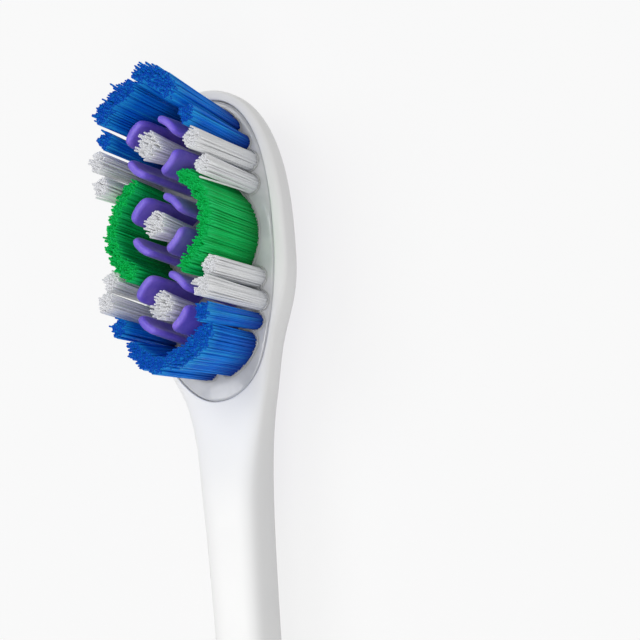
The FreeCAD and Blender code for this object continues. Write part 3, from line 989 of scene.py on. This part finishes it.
def cleaner_half(u):
    """Half-width at u of the tongue cleaner."""
    wide = max(CLEANER_TAIL, half_width(u) - CLEANER_MARGIN)
    toe = oval(max(0.0, (u - HEAD_WIDEST) / (CLEANER_TOE - HEAD_WIDEST)), HEAD_ROUND)
    heel = oval(max(0.0, (-u - CLEANER_HEEL + CLEANER_ROUND) / CLEANER_ROUND), 2.0)
    return min(wide, (HEAD_HALF - CLEANER_MARGIN) * toe) * heel


def ring_arc(form, u, outer, middle):
    """One arc of a raised ring on the back, round on top and toward its ends."""
    radius = (outer - RING_WALL) / 2
    rings = []
    for k in range(RING_STEPS + 1):
        f = 2.0 * k / RING_STEPS - 1.0
        turn = math.radians(middle + RING_REACH * f)
        swell = blend(RING_END_RISE, 1.0, oval(f, RING_END_ROUND))
        half = RING_WALL / 2 * blend(RING_END_WALL, 1.0, swell)
        ring = []
        for j in range(RING_ROUND_STEPS + 1):
            t = math.pi * j / RING_ROUND_STEPS
            r = radius + half * math.cos(t)
            a, b = u + r * math.cos(turn), r * math.sin(turn)
            lift = (RING_RISE + PAD_PROUD) * math.sin(t) ** RING_TOP_ROUND * swell - RING_SINK
            ring.append(place(*(Vector((a, b, back(a, b))) + outward(back, a, b, -1) * lift)))
        rings.append(form.ring(ring))
    form.loft(rings)
    form.faces.append(tuple(rings[0]))
    form.faces.append(tuple(reversed(rings[-1])))


def nub(form, u, v):
    """Soft pointed nub on the back."""
    normal = outward(back, u, v, -1)
    side = normal.cross(Vector((1.0, 0.0, 0.0))).normalized()
    fore = side.cross(normal)
    foot = Vector((u, v, back(u, v))) + normal * (PAD_PROUD - NUB_SINK)
    rings = []
    for r, z in NUB_PROFILE:
        middle = foot + normal * (NUB_RISE * z)
        rings.append(form.ring(
            place(*(middle + (fore * math.cos(a) + side * math.sin(a)) * (NUB_BASE * r)))
            for a in turns(NUB_SIDES)))
    form.loft(rings)
    form.fan(rings[-1], form.add(place(*(foot + normal * NUB_RISE))))


def nub_places():
    """Staggered rows of nubs that keep clear of the rings and the edge."""
    found = []
    rows = int((CLEANER_TOE + CLEANER_HEEL - NUB_FROM_ENDS) / NUB_PITCH)
    for i in range(rows * 2):
        u = CLEANER_TOE - NUB_FROM_TOE - NUB_PITCH * i / 2
        for j in range(-NUB_COLUMNS, NUB_COLUMNS + 1):
            v = (j + 0.5 * (i % 2)) * NUB_PITCH * NUB_ACROSS
            clear = abs(v) < cleaner_half(u) - NUB_BASE - NUB_EDGE
            for at, outer in RINGS:
                off = abs(math.hypot(u - at, v) - (outer - RING_WALL) / 2)
                clear = clear and off > RING_WALL / 2 + NUB_BASE + NUB_CLEAR
            if clear:
                found.append((u, v))
    return found


def flat(u, v):
    return 0.0


def ribs(u, v):
    """Raised cross ribs of the thumb grip, shorter toward its ends."""
    step = (THUMB_END - THUMB_START) / (THUMB_RIBS + 1)
    nearest = max(1, min(THUMB_RIBS, round((-u - THUMB_START) / step)))
    half = THUMB_HALF * RIB_REACH * oval((nearest / (THUMB_RIBS + 1) - 0.5) * RIB_TAPER, 2.0)
    along = (-u - THUMB_START - step * nearest) / RIB_HALF
    across = abs(v) / max(RIB_LEAST, half * RIB_ROUND)
    return RIB_RISE * max(0.0, 1.0 - along ** 2 - across ** 4) ** RIB_SOFTNESS


def grooves(u, v):
    """Cross grooves of the back grip, whose face lies level with the body."""
    step = (BACK_END - BACK_START) / (BACK_GROOVES + 1)
    nearest = max(1, min(BACK_GROOVES, round((-u - BACK_START) / step)))
    along = (-u - BACK_START - step * nearest) / GROOVE_HALF
    return -GROOVE_DEPTH * math.sqrt(max(0.0, 1.0 - along ** 2)) - PAD_PROUD + PAD_SINK


def build_pads():
    form = Form()
    pad(form, back, -1, cleaner_half, CLEANER_TOE, -CLEANER_HEEL, CLEANER_STEP, flat)
    for at, outer in RINGS:
        for turn in RING_ARCS:
            ring_arc(form, at, outer, turn)
    for u, v in nub_places():
        nub(form, u, v)
    form.piece("cleaner", "tongue_cleaner", SOFT, weld=WELD)
    form = Form()
    pad(form, front, 1, thumb_half, -THUMB_START, -THUMB_END, THUMB_STEP, ribs)
    form.piece("thumb_pad", "thumb_grip", SOFT, weld=WELD)
    form = Form()
    pad(form, back, -1, back_half, -BACK_START, -BACK_END, BACK_STEP, grooves)
    form.piece("back_pad", "back_grip", SOFT, weld=WELD)


# Camera, floor and light


def build_camera():
    right = Vector(CAMERA_RIGHT).normalized()
    toward = Vector(CAMERA_TOWARD).normalized()
    up = toward.cross(right).normalized()
    right = up.cross(toward).normalized()
    lens = bpy.data.cameras.new("camera")
    lens.lens = CAMERA_LENS
    lens.sensor_width = CAMERA_SENSOR
    lens.clip_start, lens.clip_end = CAMERA_NEAR * MM, CAMERA_FAR * MM
    rig = bpy.data.objects.new("camera", lens)
    scene.collection.objects.link(rig)
    offset = toward * CAMERA_AWAY + right * CAMERA_SHIFT_RIGHT + up * CAMERA_SHIFT_UP
    turn = Matrix((right, up, toward)).transposed().to_4x4()
    turn.translation = place(0.0, 0.0, PLATE_Z) + offset * MM
    rig.matrix_world = turn
    scene.camera = rig


def seen_directly(tree):
    """Factor that is 1 for camera, glossy and transmission rays."""
    path = tree.nodes.new("ShaderNodeLightPath")
    total = path.outputs["Is Camera Ray"]
    for name in ("Is Glossy Ray", "Is Transmission Ray"):
        both = tree.nodes.new("ShaderNodeMath")
        both.operation = "MAXIMUM"
        tree.links.new(total, both.inputs[0])
        tree.links.new(path.outputs[name], both.inputs[1])
        total = both.outputs["Value"]
    return total


def build_floor():
    """Pale floor that keeps the shadow and shows as near white."""
    half = FLOOR_HALF * MM
    mesh = bpy.data.meshes.new("floor")
    corners = [(-half, -half, 0), (half, -half, 0), (half, half, 0), (-half, half, 0)]
    mesh.from_pydata(corners, [], [(0, 1, 2, 3)])
    floor = bpy.data.objects.new("floor", mesh)
    scene.collection.objects.link(floor)
    pale = bpy.data.materials.new("floor")
    pale.use_nodes = True
    tree = pale.node_tree
    matte = tree.nodes["Principled BSDF"]
    matte.inputs["Base Color"].default_value = (FLOOR_GREY, FLOOR_GREY, FLOOR_GREY, 1.0)
    matte.inputs["Roughness"].default_value = FLOOR_ROUGH
    matte.inputs["Specular IOR Level"].default_value = FLOOR_SPECULAR
    glow = tree.nodes.new("ShaderNodeEmission")
    glow.inputs["Color"].default_value = WHITE
    glow.inputs["Strength"].default_value = 1.0
    share = tree.nodes.new("ShaderNodeMath")
    share.operation = "MULTIPLY"
    tree.links.new(seen_directly(tree), share.inputs[0])
    share.inputs[1].default_value = FLOOR_GLOW
    mix = tree.nodes.new("ShaderNodeMixShader")
    tree.links.new(share.outputs["Value"], mix.inputs[0])
    tree.links.new(matte.outputs[0], mix.inputs[1])
    tree.links.new(glow.outputs[0], mix.inputs[2])
    tree.links.new(mix.outputs[0], tree.nodes["Material Output"].inputs["Surface"])
    mesh.materials.append(pale)


def build_light():
    world = bpy.data.worlds.new("studio")
    scene.world = world
    world.use_nodes = True
    sky = world.node_tree.nodes["Background"]
    sky.inputs["Color"].default_value = WHITE
    sky.inputs["Strength"].default_value = WORLD_STRENGTH
    target = place(0.0, 0.0, LAMP_AIM_Z)
    for name, spot, power in LAMPS:
        lamp = bpy.data.lights.new(name, "AREA")
        lamp.energy = power
        lamp.size = LAMP_SIZE * MM
        made = bpy.data.objects.new(name, lamp)
        made.location = Vector(spot) * MM
        made.rotation_euler = (target - made.location).to_track_quat("-Z", "Y").to_euler()
        scene.collection.objects.link(made)


build_body()
build_plate()
build_tufts()
build_cups()
build_pads()
build_camera()
build_floor()
build_light()
